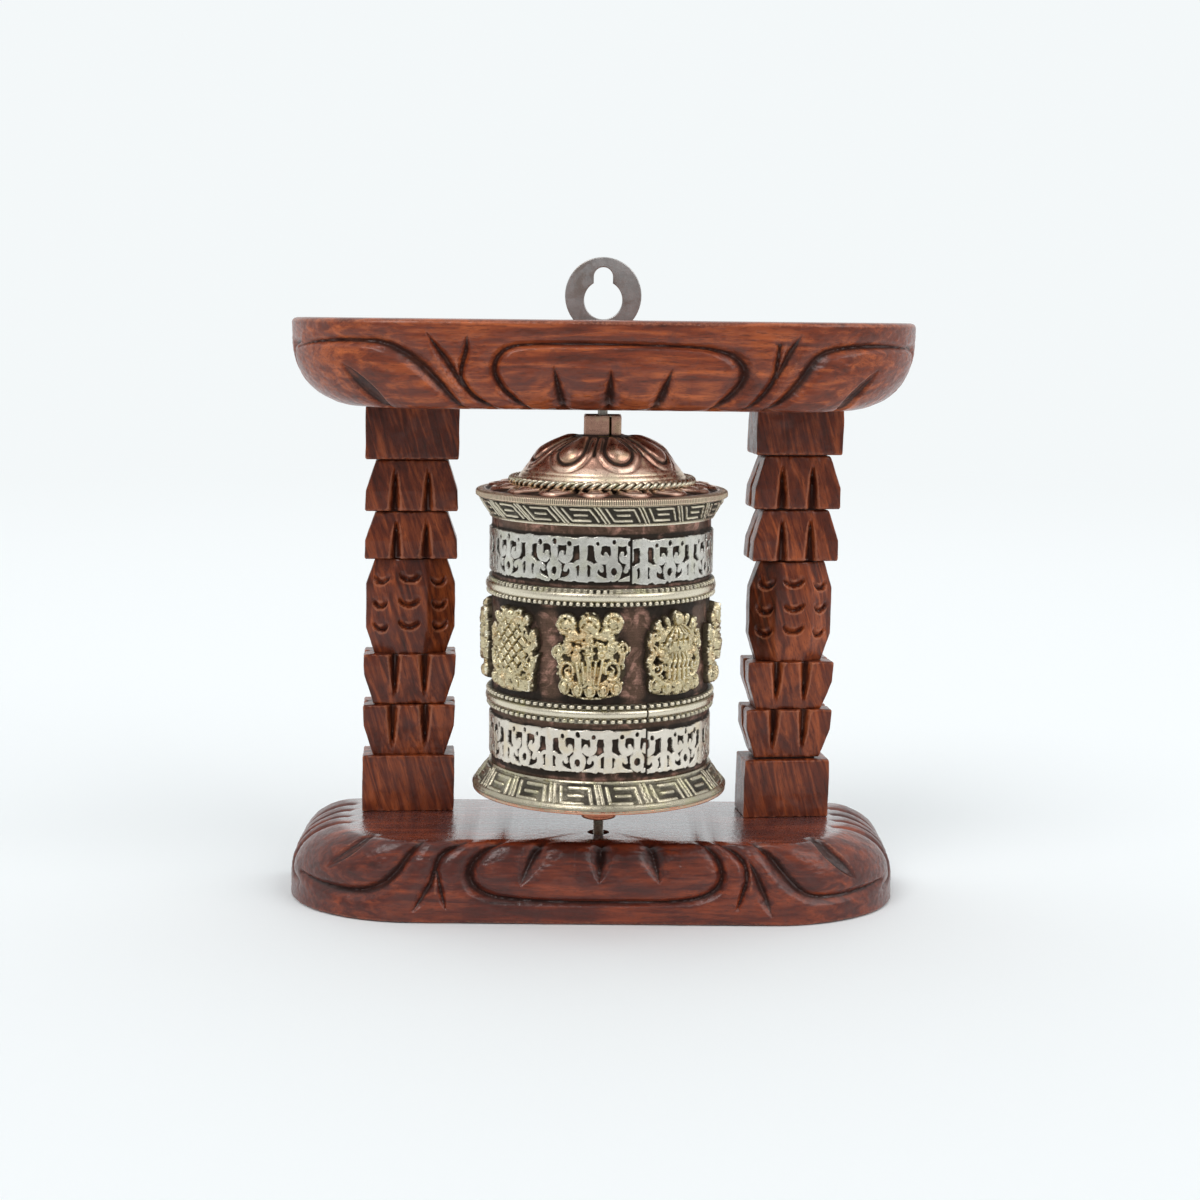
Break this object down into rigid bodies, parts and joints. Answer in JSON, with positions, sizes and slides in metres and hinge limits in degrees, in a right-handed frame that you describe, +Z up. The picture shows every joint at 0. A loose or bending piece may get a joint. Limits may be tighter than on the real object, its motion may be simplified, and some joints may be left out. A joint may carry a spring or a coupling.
{
  "type": "prayer wheel",
  "caption": "Metal drum on two pivots, free to turn in a carved wooden frame that stands on its base or hangs from a steel keyhole plate.",
  "frame": {"origin": "on the drum's turning axis, in the plane of the base board's underside", "axes": "+Z up along the turning axis, +X to the right seen from the front, -Y to the front, +Y to the flat back that faces a wall"},
  "size_m": [0.1736, 0.0723, 0.1794],
  "materials": {
    "carved_wood": "stained and varnished",
    "post_wood": "stained and varnished",
    "hanger_steel": "dull, rust spotted",
    "screw_steel": "plain",
    "pivot_steel": "dull",
    "copper": "worn, darkened in the hollows",
    "dark_copper": "dark patina",
    "white_metal": "worn, blackened in the hollows",
    "brass": "plain",
    "plaque_brass": "cast, polished on the high points",
    "paper": "plain",
    "thread": "cotton"
  },
  "bodies": {
    "frame": {"top_board": "carved_wood", "base_board": "carved_wood", "left_post": "post_wood", "right_post": "post_wood", "hanger_plate": "hanger_steel", "hanger_screws": "screw_steel", "top_post_screws": "screw_steel", "bottom_post_screws": "screw_steel", "top_pivot_pin": "pivot_steel", "bottom_pivot_screw": "pivot_steel"},
    "wheel": {"barrel": "dark_copper", "bottom_plate": "copper", "bottom_boss": "copper", "bottom_bush": "brass", "top_collar": "copper", "top_bush": "brass", "dome_cap": "copper", "flange_plate": "copper", "dome_wire": "white_metal", "upper_key_band": "white_metal", "lower_key_band": "white_metal", "upper_pierced_band": "white_metal", "lower_pierced_band": "white_metal", "upper_bead_band": "white_metal", "lower_bead_band": "white_metal", "axle_tube": "brass", "paper_scroll": "paper", "scroll_ties": "thread", "plaque_lotus": "plaque_brass", "plaque_knot": "plaque_brass", "plaque_fish": "plaque_brass", "plaque_wheel": "plaque_brass", "plaque_banner": "plaque_brass", "plaque_conch": "plaque_brass", "plaque_vase": "plaque_brass", "plaque_parasol": "plaque_brass"}
  },
  "joints": [
    {"name": "wheel_spin", "type": "hinge", "parent": "frame", "child": "wheel", "pos_m": [0, 0, 0.0884], "axis": [0, 0, 1], "continuous": true}
  ]
}
